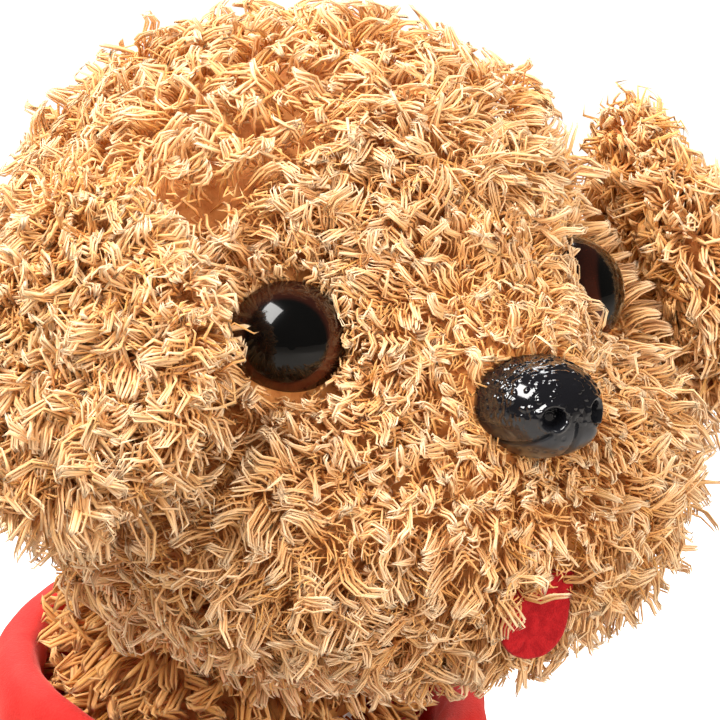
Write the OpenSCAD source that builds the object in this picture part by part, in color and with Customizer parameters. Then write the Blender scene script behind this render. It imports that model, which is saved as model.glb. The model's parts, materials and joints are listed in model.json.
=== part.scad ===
// Plush toy poodle, sitting up in a velour coat. It faces -Y, its right side is -X, and it sits on z = 0.
// Pile fabric is drawn with the thickness of its standing pile, as a hand feels it.
// Every skin is a hollow shell with its own filling inside it.

/* [Pile fabric] */
// Thickness of the standing pile
pile = 5.5; // [4:0.5:7]
// Thickness of the knitted backing
backing = 1.5; // [1:0.5:2]
// Gap between a skin and its filling, and between pieces of one body
fit = 0.25; // [0.2:0.05:0.4]
// Gap between pieces that move against each other
clear = 0.8; // [0.6:0.1:1.2]

/* [Head] */
// Middle of the skull: its Y
skull_y = -24; // [-26:1:-22]
// Middle of the skull: its height
skull_z = 168; // [166:1:172]
// Radius of the round skull over the pile
skull_r = 44; // [43:0.5:45]
// Half width of the muzzle and cheeks over the pile
muzzle_half_w = 39; // [38:0.5:40]
// Half depth of the muzzle over the pile
muzzle_half_d = 30.5; // [30:0.5:31]
// Half height of the muzzle over the pile
muzzle_half_h = 24.5; // [24:0.5:25]

/* [Face] */
// Distance between the middles of the two eyes
eye_spacing = 45; // [44:0.5:46]
// Diameter of an eye's dome
eye_dia = 15; // [14:0.5:15]
// How far an eye's dome stands out from its flange
eye_rise = 6.5; // [6:0.5:7]
// Width of the nose
nose_w = 15.6; // [15:0.2:17]
// Height of the nose
nose_h = 13; // [12:0.5:13]
// Width of the tongue
tongue_w = 11; // [10:0.5:12]
// Length of the tongue below its seam
tongue_l = 11; // [10:0.5:11.5]
// Thickness of the felt
felt = 1.6; // [1.5:0.1:2]

/* [Ears] */
// Length of an ear below its seam
ear_l = 45; // [43:1:48]
// Width of an ear, front to back
ear_w = 44; // [42:1:45]
// Thickness of an ear over the pile
ear_t = 13; // [12:0.5:14]

/* [Neck and torso] */
// Middle of the neck: its Y
neck_y = -7; // [-8:0.5:-6]
// Radius of the neck over the pile
neck_r = 25; // [24:0.5:25]
// Height of the seam between torso and neck
neck_z = 112; // [111:0.5:113]
// Half width of the chest
chest_half_w = 30; // [29:0.5:30]
// Half width of the hips
hip_half_w = 36; // [35:0.5:36]
// Diameter of the flat base panel
base_dia = 44; // [40:1:44]

/* [Legs and tail] */
// Radius of a foreleg over the pile
foreleg_r = 12; // [11.5:0.5:12]
// Distance between the middles of the forelegs
foreleg_spacing = 60; // [60:0.5:62]
// Height of the shoulder
shoulder_z = 82; // [80:1:83]
// Radius of the ball at the tail's end
tail_ball_r = 15; // [13:0.5:16]

/* [Coat] */
// Thickness of the velour
velour = 2.4; // [2:0.2:2.6]
// Height of the coat's hem above the ground
hem_z = 60; // [59:0.5:62]
// Tilt of the collar, its front lower than its back, in degrees
collar_tilt = 12; // [8:1:12]
// Height of the folded collar
collar_h = 18; // [16:0.5:19]
// Thickness of the folded collar
collar_t = 6; // [5:0.5:6.5]
// Diameter of the navy piping
piping = 2.6; // [2:0.2:3]

/* [Hidden] */
$fn = 72;

skin = pile + backing;
skull = [0, skull_y, skull_z];
skull_back = 3;
muzzle_half = [muzzle_half_w, muzzle_half_d, muzzle_half_h];
muzzle_drop = 17;
muzzle_forward = 24;
bridge_half = [17, 19, 15];
bridge_forward = 31;

eye_pos = [eye_spacing / 2 + 0.3, -26.3, 7.5];
eye_gap = 2.9;
hole_h = 30;
eye_yaw = 32;
eye_lift = 6;
eye_flange_t = 1;
shank_r = 2.4;
shank_l = 12;
groove_step = 1.6;
groove_w = 0.5;
groove_d = 0.35;
shank_fit = 0.12;
washer_gap = 2;
washer_r = 7;
washer_t = 2.4;
socket_r = eye_dia / 2 + 1;
dome_r = (eye_rise * eye_rise + eye_dia * eye_dia / 4) / (2 * eye_rise);

nose_y = -45;
nose_z = 0;
nose_d = 11.2;
nose_rim = 0.6;
nose_shank_l = 7;
throat_r = 11;
throat_z = -6;
nostril_r = 1.5;
nostril_d = 3.2;
nostril_x = 3.8;

tongue_pos = [0, -47.8, -22];
mouth_room = 0.7;

ear_turn = 20;
ear_tilt = 15;
ear_root_r = 4.5;
ear_root_l = 26;
ear_root_x = skull_r - 2;
ear_root_z = 26.5;
ear_shift = 1.5;
lining_in = 2;
lining_t = 1.6;

nod_room = 7;
neck_h = 30;
bag_z = 22;

chest = [0, -3, 86];
chest_half = [chest_half_w, 29, 38];
hips = [0, 14, 36];
hips_half = [hip_half_w, 42, 40];
bag_half = [22, 24, 17];

shoulder = [foreleg_spacing / 2, -41, shoulder_z];
shoulder_r = foreleg_r + 0.5;
paw_half = [12.5, 18, 12];
paw = [27.5, -47, 10.5];
haunch = [51.5, 14, 32];
haunch_half = [14.5, 30, 27];
foot = [56.5, -22, 10];
foot_half = [13, 24, 12];
tail_root = [0, 64, 32];
tail_tip = [0, 78, 60];
tail_r = 7;
tail_lean = atan2(tail_tip[1] - tail_root[1], tail_tip[2] - tail_root[2]);
tail_len = norm(tail_tip - tail_root);

collar_in = neck_r + 3;
collar_z = 107;
collar_back = 2;
hem_over = 0.6;
sleeve_l = 24;
tape_w = 10;
tape_l = 34;
tape_t = 1.2;
block = 200;

// An ellipsoid from its three half sizes.
module ellipsoid(half) {
    scale(half) sphere(r = 1);
}

// Places its children on the skull, in the skull's own directions.
module on_skull() {
    translate(skull) children();
}

module skull_shape(inset = 0) {
    translate([0, skull_back, 0]) sphere(r = skull_r - inset);
}

module muzzle_shape(inset = 0) {
    translate([0, -muzzle_forward, -muzzle_drop]) ellipsoid([for (h = muzzle_half) h - inset]);
    translate([0, -bridge_forward, 0]) ellipsoid([for (h = bridge_half) h - inset]);
}

// Puts its children at one eye, with +Z out along the eye; side is -1 for the right one.
module at_eye(side) {
    translate([side * eye_pos[0], eye_pos[1], eye_pos[2]])
        rotate([90 - eye_lift, 0, side * eye_yaw]) children();
}

// The clear space an eye, its shank and its washer need in skin and filling.
module eye_room(side) {
    at_eye(side) {
        cylinder(r = socket_r, h = hole_h);
        translate([0, 0, -shank_l - fit]) cylinder(r = shank_r + fit, h = shank_l + 1);
    }
}

// Puts its children at the nose's flat back, with +Z out of the face.
module at_nose() {
    translate([0, nose_y, nose_z]) rotate([90, 0, 0]) children();
}

module nose_room() {
    at_nose() {
        translate([0, 0, -0.1]) scale([nose_w / 2 + nose_rim, nose_h / 2 + nose_rim, 1])
            cylinder(r = 1, h = nose_d + 2);
        translate([0, 0, -nose_shank_l - fit]) cylinder(r = shank_r + fit, h = nose_shank_l + 1);
    }
}

// Round opening in the skull cover, behind the muzzle.
module throat() {
    translate([0, 0, throat_z]) rotate([90, 0, 0]) cylinder(r = throat_r, h = 2 * hole_h);
}

// Skull cover: a ball of pile fabric, open at the front where the muzzle is sewn on.
module head_pile() {
    color([0.82, 0.6, 0.36]) on_skull() difference() {
        skull_shape();
        skull_shape(skin);
        throat();
        for (side = [-1, 1]) eye_room(side);
    }
}

// Slot under the lip in which the tongue hangs and swings.
module mouth_slot() {
    translate([-tongue_w / 2, tongue_pos[1] - hole_h, tongue_pos[2] - hole_h] + mouth_room * [-1, 1, 1])
        cube([tongue_w + 2 * mouth_room, hole_h, hole_h]);
}

// Muzzle and cheeks: pile fabric with a hole for the nose's shank.
module muzzle_pile() {
    color([0.86, 0.65, 0.4]) on_skull() difference() {
        muzzle_shape();
        muzzle_shape(skin);
        skull_shape(-fit);
        for (side = [-1, 1]) eye_room(side);
        nose_room();
        mouth_slot();
        at_nose() washer_room(nose_shank_l, fit - washer_gap);
    }
}

// Room for a washer and the end of its shank, up to a given height on the shank.
module washer_room(shank, top = 1) {
    translate([0, 0, -shank - fit]) cylinder(r = washer_r + fit, h = shank + fit + top);
}

// Fibre filling of the skull, with room for the eyes' shanks and washers.
module head_filling() {
    color([0.95, 0.94, 0.9]) on_skull() difference() {
        skull_shape(skin + fit);
        for (side = [-1, 1]) at_eye(side) washer_room(shank_l);
    }
}

// Firm wad of fibre that fills the muzzle in front of the skull.
module muzzle_filling() {
    color([0.95, 0.94, 0.9]) on_skull() difference() {
        muzzle_shape(skin + fit);
        skull_shape(-fit);
        at_nose() washer_room(nose_shank_l);
    }
}

// Safety eye: a low dome on a flange, with a grooved shank behind it.
module safety_eye(side) {
    color([0.16, 0.08, 0.04]) on_skull() at_eye(side) {
        cylinder(r = eye_dia / 2, h = eye_flange_t);
        intersection() {
            translate([0, 0, eye_flange_t + eye_rise - dome_r]) sphere(r = dome_r);
            translate([0, 0, eye_flange_t]) cylinder(r = eye_dia / 2, h = eye_rise + 1);
        }
        difference() {
            translate([0, 0, -shank_l]) cylinder(r = shank_r, h = shank_l);
            for (z = [-shank_l + groove_step : groove_step : -2 * groove_step])
                translate([0, 0, z]) difference() {
                    cylinder(r = shank_r + 1, h = groove_w);
                    cylinder(r = shank_r - groove_d, h = groove_w);
                }
        }
    }
}

// Toothed locking washer, pushed over a shank from behind.
module washer() {
    difference() {
        cylinder(r = washer_r, h = washer_t);
        translate([0, 0, -1]) cylinder(r = shank_r + shank_fit, h = washer_t + 2);
    }
}

module eye_washers() {
    color([0.92, 0.92, 0.88]) on_skull() for (side = [-1, 1])
        at_eye(side) translate([0, 0, -eye_gap - washer_t]) washer();
}

// Moulded nose: a rounded button, wider than high, with two nostrils and a shank.
module nose() {
    color([0.05, 0.05, 0.06]) on_skull() at_nose() {
        difference() {
            intersection() {
                scale([nose_w / 2, nose_h / 2, nose_d]) sphere(r = 1);
                cylinder(r = nose_w, h = nose_d + 1);
            }
            for (side = [-1, 1]) translate([side * nostril_x, -0.5, nose_d - nostril_d])
                cylinder(r = nostril_r, h = nostril_d + 1);
        }
        translate([0, 0, -nose_shank_l]) cylinder(r = shank_r, h = nose_shank_l + 1);
    }
}

module nose_washer() {
    color([0.92, 0.92, 0.88]) on_skull() at_nose() translate([0, 0, -washer_gap - washer_t]) washer();
}

// Felt tongue, hanging from its seam under the lip.
module tongue() {
    color([0.75, 0.1, 0.13]) on_skull() translate(tongue_pos) rotate([90, 0, 0]) linear_extrude(felt)
        hull() {
            translate([0, tongue_w / 2 - tongue_l]) circle(r = tongue_w / 2);
            translate([0, -1.5]) circle(r = 1.5);
        }
}

// Puts its children at one ear's seam, +X out from the head; side is -1 for the right ear.
module at_ear(side) {
    on_skull() rotate([0, 0, side < 0 ? 180 + ear_turn : -ear_turn])
        translate([ear_root_x, 0, ear_root_z]) children();
}

// The rolled seam that an ear hangs from.
module ear_root(extra = 0) {
    rotate([90, 0, 0]) translate([0, 0, -ear_root_l / 2 - extra])
        cylinder(r = ear_root_r + extra, h = ear_root_l + 2 * extra);
}

module ear_blade() {
    translate([ear_shift, 0, -ear_l / 2])
        scale([ear_t / 2, ear_w / 2, ear_l / 2]) rotate([0, 90, 0]) sphere(r = 1);
}

// Outer side of an ear: pile fabric on its rolled seam.
module ear_pile(side) {
    color([0.84, 0.62, 0.38]) at_ear(side) {
        ear_root();
        rotate([0, -ear_tilt, 0]) difference() {
            ear_blade();
            translate([-ear_t - lining_in, -ear_w, -ear_l - 1]) cube([ear_t, 2 * ear_w, ear_l + 2]);
        }
    }
}

// Inner side of an ear: a flat lining that closes the pile fabric.
module ear_lining(side) {
    color([0.78, 0.56, 0.33]) at_ear(side) difference() {
        rotate([0, -ear_tilt, 0]) intersection() {
            ear_blade();
            translate([-lining_in - fit - lining_t, -ear_w, -ear_l - 1])
                cube([lining_t, 2 * ear_w, ear_l + 2]);
        }
        ear_root(fit);
    }
}

// Column of the neck, hollowed on top so that skull and muzzle ride clear above it.
module neck_column(r) {
    difference() {
        translate([0, neck_y, neck_z + clear]) cylinder(r = r, h = neck_h);
        on_skull() skull_shape(-nod_room);
        on_skull() translate([0, -muzzle_forward, -muzzle_drop]) sphere(r = muzzle_half_h + nod_room);
    }
}

module neck_pile() {
    color([0.7, 0.5, 0.3]) difference() {
        neck_column(neck_r);
        translate([0, neck_y, neck_z]) cylinder(r = neck_r - skin, h = 2 * neck_h);
    }
}

module neck_filling() {
    color([0.95, 0.94, 0.9]) neck_column(neck_r - skin - fit);
}

module torso_shape(inset = 0) {
    translate(chest) ellipsoid([for (h = chest_half) h - inset]);
    translate(hips) ellipsoid([for (h = hips_half) h - inset]);
}

// Keeps what lies between the base panel and the neck seam.
module torso_cut(inset = 0) {
    intersection() {
        children();
        translate([-block / 2, -block / 2, backing + fit + inset])
            cube([block, block, neck_z - backing - fit - 2 * inset]);
    }
}

module torso_pile() {
    color([0.8, 0.58, 0.35]) difference() {
        torso_cut() torso_shape();
        torso_cut(backing) torso_shape(skin);
    }
}

module torso_filling() {
    color([0.95, 0.94, 0.9]) difference() {
        torso_cut(backing + fit) torso_shape(skin + fit);
        translate([hips[0], hips[1], bag_z]) ellipsoid([for (h = bag_half) h + fit]);
    }
}

// Cotton bag of pellets that weighs the seat down.
module pellet_bag() {
    color([0.9, 0.88, 0.82]) translate([hips[0], hips[1], bag_z]) ellipsoid(bag_half);
}

// Flat round panel that closes the seat underneath.
module base_panel() {
    color([0.7, 0.5, 0.3]) translate([0, hips[1], 0]) cylinder(r = base_dia / 2, h = backing);
}

// What would lie under the ground, taken off paws and feet.
module below_ground(inset) {
    translate([-block / 2, -block / 2, inset - block]) cube(block);
}

module foreleg_shape(inset = 0) {
    difference() {
        union() {
            translate(shoulder) sphere(r = shoulder_r - inset);
            translate([shoulder[0], shoulder[1], paw[2]])
                cylinder(r = foreleg_r - inset, h = shoulder[2] - paw[2]);
            translate(paw) ellipsoid([for (h = paw_half) h - inset]);
        }
        below_ground(inset);
    }
}

module foreleg_pile(side) {
    color([0.82, 0.6, 0.36]) mirror([side < 0 ? 1 : 0, 0, 0]) difference() {
        foreleg_shape();
        foreleg_shape(skin);
    }
}

module foreleg_filling(side) {
    color([0.95, 0.94, 0.9]) mirror([side < 0 ? 1 : 0, 0, 0]) foreleg_shape(skin + fit);
}

module hindleg_shape(inset = 0) {
    difference() {
        union() {
            translate(haunch) ellipsoid([for (h = haunch_half) h - inset]);
            translate([(haunch[0] + foot[0]) / 2, foot[1], foot[2] + 2]) rotate([-70, 0, 0])
                cylinder(r = foot_half[2] - 0.5 - inset, h = haunch[1] - foot[1]);
            translate(foot) ellipsoid([for (h = foot_half) h - inset]);
        }
        below_ground(inset);
    }
}

module hindleg_pile(side) {
    color([0.82, 0.6, 0.36]) mirror([side < 0 ? 1 : 0, 0, 0]) difference() {
        hindleg_shape();
        hindleg_shape(skin);
    }
}

module hindleg_filling(side) {
    color([0.95, 0.94, 0.9]) mirror([side < 0 ? 1 : 0, 0, 0]) hindleg_shape(skin + fit);
}

module tail_shape(inset = 0) {
    translate(tail_root) sphere(r = tail_r - inset);
    translate(tail_root) rotate([-tail_lean, 0, 0]) cylinder(r = tail_r - 0.2 - inset, h = tail_len);
    translate(tail_tip) sphere(r = tail_ball_r - inset);
}

module tail_pile() {
    color([0.84, 0.62, 0.38]) difference() {
        tail_shape();
        tail_shape(pile);
    }
}

module tail_filling() {
    color([0.95, 0.94, 0.9]) tail_shape(pile + fit);
}

// Body of the coat: one layer of velour round chest and back, open at neck and hem.
module coat_body() {
    color([0.78, 0.13, 0.14]) difference() {
        intersection() {
            torso_shape(-fit - velour);
            translate([-block / 2, -block / 2, hem_z]) cube(block);
        }
        torso_shape(-fit);
        at_collar() translate([-block / 2, -block / 2, -piping - 2 * fit]) cube(block);
    }
}

// Places its children round the neck, on the collar's tilted plane.
module at_collar() {
    translate([0, neck_y + collar_back, collar_z]) rotate([collar_tilt, 0, 0]) children();
}

// Folded collar: a band round the neck with a soft round fold on top.
module coat_collar() {
    color([0.85, 0.16, 0.16]) at_collar() rotate_extrude() translate([collar_in, 0]) {
        square([collar_t, collar_h - collar_t / 2]);
        translate([collar_t / 2, collar_h - collar_t / 2]) circle(r = collar_t / 2);
    }
}

// Navy piping in the seam under the collar.
module collar_piping() {
    color([0.08, 0.1, 0.25]) at_collar() translate([0, 0, -piping / 2 - 0.1])
        rotate_extrude() translate([collar_in + collar_t - piping / 2, 0]) circle(r = piping / 2);
}

// Navy piping round the hem of the coat.
module hem_piping() {
    color([0.08, 0.1, 0.25]) difference() {
        intersection() {
            torso_shape(-fit - velour - hem_over);
            translate([-block / 2, -block / 2, hem_z - 0.1 - piping]) cube([block, block, piping]);
        }
        torso_shape(-fit);
    }
}

// Short sleeve round the top of a foreleg.
module sleeve(side) {
    color([0.8, 0.14, 0.15]) mirror([side < 0 ? 1 : 0, 0, 0])
        translate([shoulder[0], shoulder[1], shoulder[2] - sleeve_l]) difference() {
            union() {
                cylinder(r = foreleg_r + fit + velour, h = sleeve_l);
                translate([0, 0, sleeve_l]) sphere(r = shoulder_r + fit + velour);
            }
            translate([0, 0, -1]) cylinder(r = foreleg_r + fit, h = sleeve_l + 1);
            translate([0, 0, sleeve_l]) sphere(r = shoulder_r + fit);
        }
}

// Hook-and-loop strip that closes the coat down the back, a narrow band on the velour.
module coat_fastener() {
    color([0.7, 0.1, 0.12]) difference() {
        intersection() {
            torso_shape(-2 * fit - velour - tape_t);
            translate([-tape_w / 2, 0, hem_z + 2]) cube([tape_w, block, tape_l]);
        }
        torso_shape(-2 * fit - velour);
    }
}

head_pile();
muzzle_pile();
head_filling();
muzzle_filling();
safety_eye(-1);  // eye_right
safety_eye(1);  // eye_left
eye_washers();
nose();
nose_washer();
tongue();
ear_pile(-1);  // ear_right_pile
ear_lining(-1);  // ear_right_lining
ear_pile(1);  // ear_left_pile
ear_lining(1);  // ear_left_lining
neck_pile();
neck_filling();
torso_pile();
torso_filling();
pellet_bag();
base_panel();
foreleg_pile(-1);  // foreleg_right_pile
foreleg_filling(-1);  // foreleg_right_filling
foreleg_pile(1);  // foreleg_left_pile
foreleg_filling(1);  // foreleg_left_filling
hindleg_pile(-1);  // hindleg_right_pile
hindleg_filling(-1);  // hindleg_right_filling
hindleg_pile(1);  // hindleg_left_pile
hindleg_filling(1);  // hindleg_left_filling
tail_pile();
tail_filling();
coat_body();
coat_collar();
collar_piping();
hem_piping();
sleeve(-1);  // sleeve_right
sleeve(1);  // sleeve_left
coat_fastener();
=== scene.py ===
"""A sitting plush poodle in a red velour coat: curly pile grown tuft by tuft on stuffed skins."""
import json
import math

import bpy
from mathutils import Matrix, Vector
import numpy as np


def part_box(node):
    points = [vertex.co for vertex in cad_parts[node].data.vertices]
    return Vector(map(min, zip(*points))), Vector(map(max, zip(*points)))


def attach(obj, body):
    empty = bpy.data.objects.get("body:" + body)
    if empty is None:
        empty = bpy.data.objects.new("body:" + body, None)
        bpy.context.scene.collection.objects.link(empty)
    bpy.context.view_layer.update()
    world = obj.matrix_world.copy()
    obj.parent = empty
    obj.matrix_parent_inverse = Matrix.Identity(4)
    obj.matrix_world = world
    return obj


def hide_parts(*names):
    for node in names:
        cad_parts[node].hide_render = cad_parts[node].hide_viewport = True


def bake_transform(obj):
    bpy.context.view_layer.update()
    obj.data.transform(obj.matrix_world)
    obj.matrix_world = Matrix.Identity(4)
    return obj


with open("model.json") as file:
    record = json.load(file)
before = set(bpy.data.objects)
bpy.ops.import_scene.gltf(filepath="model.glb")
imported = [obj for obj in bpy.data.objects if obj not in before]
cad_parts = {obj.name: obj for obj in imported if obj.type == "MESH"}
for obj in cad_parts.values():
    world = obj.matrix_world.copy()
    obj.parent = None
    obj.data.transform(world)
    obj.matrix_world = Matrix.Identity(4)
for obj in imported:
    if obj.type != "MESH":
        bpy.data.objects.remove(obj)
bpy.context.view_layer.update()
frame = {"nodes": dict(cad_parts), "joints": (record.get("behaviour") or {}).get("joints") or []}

MM = 0.001


# ---------------------------------------------------------------- places taken from the frame, in millimetres

def corners(node):
    """Lowest and highest corner of a CAD node, in millimetres."""
    low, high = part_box(node)
    return np.array(low) / MM, np.array(high) / MM


def middle(node):
    """Centre of a CAD node's box, in millimetres."""
    low, high = corners(node)
    return (low + high) / 2


skull_low, skull_high = corners("head_pile")
SKULL_R = (skull_high[2] - skull_low[2]) / 2
SKULL = np.array([0.0, skull_high[1] - SKULL_R, (skull_low[2] + skull_high[2]) / 2])
JOINTS = {j["name"]: j for j in frame["joints"]}


def joint_at(name):
    """Where a joint turns, in millimetres."""
    return np.array(JOINTS[name]["pos_m"]) / MM


# ---------------------------------------------------------------- arithmetic on arrays of points

def unit(v):
    """Vectors of length one."""
    return v / np.maximum(np.linalg.norm(v, axis=-1, keepdims=True), 1e-9)


def smoothstep(low, high, x):
    """0 below low, 1 above high, an S-shaped rise between them."""
    t = np.clip((x - low) / (high - low), 0, 1)
    return t * t * (3 - 2 * t)


def full_turn(count):
    """That many even angles once round, without the closing one."""
    return np.linspace(0, 2 * math.pi, count, endpoint=False)


def distance(points, place):
    """How far points are from a place."""
    return np.linalg.norm(points - place, axis=-1)


def waves(points, length, seed, count=6):
    """A smooth random field of about -1 to 1: the sum of sine waves of that length in random directions."""
    rng = np.random.default_rng(seed)
    k = unit(rng.normal(size=(count, 3))) * (2 * math.pi / length) * rng.uniform(0.6, 1.5, (count, 1))
    phase = rng.uniform(0, 2 * math.pi, count)
    return np.sin(points @ k.T + phase).sum(axis=-1) / math.sqrt(count)


# ---------------------------------------------------------------- skins: grids of points with closed poles

def sphere_directions(rows, columns):
    """Unit vectors on a grid: polar angle from pole to pole down the rows, a full turn along the columns."""
    polar = np.linspace(0, math.pi, rows)[:, None]
    around = full_turn(columns)[None, :]
    return np.stack([np.sin(polar) * np.cos(around), np.sin(polar) * np.sin(around),
                     np.cos(polar) + 0 * around], axis=-1)


def ball_distance(points, balls, blend):
    """Smooth union of ellipsoids: each gives (length of the scaled point - 1) times its mean half size,
    and the smallest ones are melted together over the blend width."""
    found = [(np.linalg.norm((points - c) / h, axis=-1) - 1) * np.mean(h) for c, h in balls]
    return -blend * np.log(np.sum([np.exp(-np.clip(d, -60, 60) / blend) for d in found], axis=0))


def out_to_skin(centre, way, balls, blend, reach, halvings):
    """Points along each direction from the centre at which the smooth union is zero, found by
    halving the interval."""
    low, high = np.zeros(way.shape[:2]), np.full(way.shape[:2], reach)
    for _ in range(halvings):
        half = (low + high) / 2
        inside = ball_distance(centre + way * half[..., None], balls, blend) < 0
        low, high = np.where(inside, half, low), np.where(inside, high, half)
    return centre + way * ((low + high) / 2)[..., None]


def melted(balls, centre, blend, rows=73, columns=120):
    """Skin round melted ellipsoids."""
    return out_to_skin(centre, sphere_directions(rows, columns), balls, blend, 90.0, 18)


def limb(start, end, r_start, r_end, rows=25, columns=32):
    """Skin of a stuffed limb: round rings along a straight line, whose radius goes from one value
    to the other, closed by two half-round ends."""
    start, end = np.asarray(start, float), np.asarray(end, float)
    axis = unit(end - start)
    side = unit(np.cross(axis, [0.3, 0.1, 1.0]))
    other = np.cross(axis, side)
    length = np.linalg.norm(end - start)
    cap = np.linspace(0, math.pi / 2, 9)
    along = np.concatenate([-r_start * np.cos(cap), np.linspace(0, length, rows)[1:-1],
                            length + r_end * np.sin(cap)])
    between = r_start + (r_end - r_start) * np.linspace(0, 1, rows)[1:-1]
    radius = np.concatenate([r_start * np.sin(cap), between,
                             r_end * np.cos(cap)])
    turn = full_turn(columns)[None, :, None]
    ring = np.cos(turn) * side + np.sin(turn) * other
    return start + along[:, None, None] * axis + radius[:, None, None] * ring


def grid_faces(rows, columns, wrap=True):
    """Quads between neighbouring rows of a grid, wrapped round in the column direction."""
    last = columns if wrap else columns - 1
    r, c = np.meshgrid(np.arange(rows - 1), np.arange(last), indexing="ij")
    d = (c + 1) % columns
    return np.stack([r * columns + c, (r + 1) * columns + c, (r + 1) * columns + d, r * columns + d],
                    axis=-1).reshape(-1, 4)


def add_mesh(name, points, loops, starts, uv=None):
    """A smooth mesh object from points in metres, the vertex numbers of all faces in one row, and the
    place in that row where each face starts; uv has one pair per vertex number."""
    mesh = bpy.data.meshes.new(name)
    mesh.vertices.add(len(points))
    mesh.vertices.foreach_set("co", points.ravel())
    mesh.loops.add(len(loops))
    mesh.loops.foreach_set("vertex_index", loops)
    mesh.polygons.add(len(starts))
    mesh.polygons.foreach_set("loop_start", starts)
    mesh.polygons.foreach_set("use_smooth", np.full(len(starts), True))
    if uv is not None:
        mesh.uv_layers.new(name="OFBake").data.foreach_set("uv", uv)
    mesh.update(calc_edges=True)
    piece = bpy.data.objects.new(name, mesh)
    bpy.context.scene.collection.objects.link(piece)
    return piece


def make_mesh(name, points, faces):
    """A mesh object from points in millimetres and equally long faces."""
    points = np.asarray(points, np.float32).reshape(-1, 3) * MM
    faces = np.asarray(faces, np.int32)
    starts = np.arange(len(faces), dtype=np.int32) * faces.shape[1]
    piece = add_mesh(name, points, faces.ravel(), starts)
    piece.data.validate()
    return piece


def clean_up(piece, distance=0.02):
    """Merges doubled points, as at the poles, and turns all faces outwards."""
    import bmesh
    work = bmesh.new()
    work.from_mesh(piece.data)
    bmesh.ops.remove_doubles(work, verts=work.verts, dist=distance * MM)
    bmesh.ops.recalc_face_normals(work, faces=work.faces)
    work.to_mesh(piece.data)
    work.free()
    piece.data.polygons.foreach_set("use_smooth", np.full(len(piece.data.polygons), True))
    return piece


def skin_piece(name, grids):
    """One object from several closed skins, each a grid of points."""
    points, faces, start = [], [], 0
    for grid in grids:
        rows, columns = grid.shape[:2]
        points.append(grid.reshape(-1, 3))
        faces.append(grid_faces(rows, columns) + start)
        start += rows * columns
    return clean_up(make_mesh(name, np.concatenate(points), np.concatenate(faces)))


# ---------------------------------------------------------------- tufts: roots, then curls, then tubes

PLASTIC_NUMBER = 1.32471795724


def roots_on(grid, count, seed):
    """Evenly spread roots on a skin: an R2 sequence is carried through the running sum of the
    cells' areas, first down the rows and then along each row."""
    rows, columns = grid.shape[:2]
    nxt = np.roll(grid, -1, axis=1)
    a, b, c, d = grid[:-1], grid[1:], nxt[1:], nxt[:-1]
    normal = np.cross(c - a, d - b)
    area = np.linalg.norm(normal, axis=-1) / 2
    outwards = np.sum(normal * ((a + c) / 2 - grid.reshape(-1, 3).mean(axis=0)), axis=-1)
    if np.sum(outwards * area) < 0:
        normal = -normal
    row_sum = area.sum(axis=1)
    row_run = np.concatenate([[0], np.cumsum(row_sum)]) / row_sum.sum()
    cell_run = np.cumsum(area, axis=1) / np.maximum(row_sum[:, None], 1e-12)
    i = np.arange(count) + seed * 1000
    rng = np.random.default_rng(seed)
    p = (0.5 + i / PLASTIC_NUMBER + rng.uniform(-1, 1, count) * 0.003) % 1
    q = (0.5 + i / PLASTIC_NUMBER / PLASTIC_NUMBER) % 1
    row = np.clip(np.searchsorted(row_run, p, side="right") - 1, 0, rows - 2)
    s = (p - row_run[row]) / np.maximum(row_run[row + 1] - row_run[row], 1e-12)
    flat = (cell_run + np.arange(rows - 1)[:, None]).ravel()
    cell = np.searchsorted(flat, q * 0.999999 + row)
    cell = np.minimum(cell, (row + 1) * columns - 1)
    col = cell - row * columns
    before = np.where(col > 0, cell_run[row, np.maximum(col - 1, 0)], 0)
    t = (q - before) / np.maximum(cell_run[row, col] - before, 1e-12)
    s, t = np.clip(s, 0, 1)[:, None], np.clip(t, 0, 1)[:, None]
    places = ((a[row, col] * (1 - s) + b[row, col] * s) * (1 - t)
              + (d[row, col] * (1 - s) + c[row, col] * s) * t)
    return places, unit(normal[row, col])


def across(vector, normal):
    """The part of a vector that lies along the skin."""
    return vector - np.sum(vector * normal, axis=-1, keepdims=True) * normal


def locks_of(places, strands, rng):
    """Groups roots into locks of about that many strands: each root goes to its nearest lock middle."""
    middles = places[rng.choice(len(places), max(2, int(len(places) / strands)), replace=False)]
    own = np.empty(len(places), int)
    square = (middles ** 2).sum(axis=1)
    for start in range(0, len(places), 4000):
        own[start:start + 4000] = np.argmin(square - 2 * places[start:start + 4000] @ middles.T, axis=1)
    return own, len(middles)


def curls(places, normals, comb, length, lean, roll, swing, steps):
    """Paths of the strands. A strand leaves the skin at an angle of lean from its normal and rolls over
    towards its comb direction by roll radians, while that direction itself swings by swing radians."""
    comb = unit(across(comb, normals) + 1e-6)
    side = np.cross(normals, comb)
    t = (np.arange(steps) + 0.5) / steps
    tilt = np.abs(lean)[:, None] + roll[:, None] * t[None, :] ** 1.2
    heading = swing[:, None] * (t[None, :] - 0.25)
    way = (np.cos(tilt)[..., None] * normals[:, None]
           + (np.sin(tilt) * np.cos(heading))[..., None] * comb[:, None]
           + (np.sin(tilt) * np.sin(heading))[..., None] * side[:, None])
    share = np.ones(steps)
    share[-1] = 0.4
    share /= share.sum()
    step = unit(way) * (length[:, None] * share[None, :])[..., None]
    return places[:, None] + np.concatenate([np.zeros((len(places), 1, 3)), np.cumsum(step, axis=1)], axis=1)


def drawn_together(path, own, number, pull):
    """Strands of one lock drawn to the lock's mean path by the share pull at the tips, less below."""
    total = np.zeros((number,) + path.shape[1:])
    np.add.at(total, own, path)
    mean = total / np.maximum(np.bincount(own, minlength=number), 1)[:, None, None]
    rise = pull * np.linspace(0, 1, path.shape[1]) ** 0.8
    return path + (mean[own] - path) * rise[None, :, None]


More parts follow.
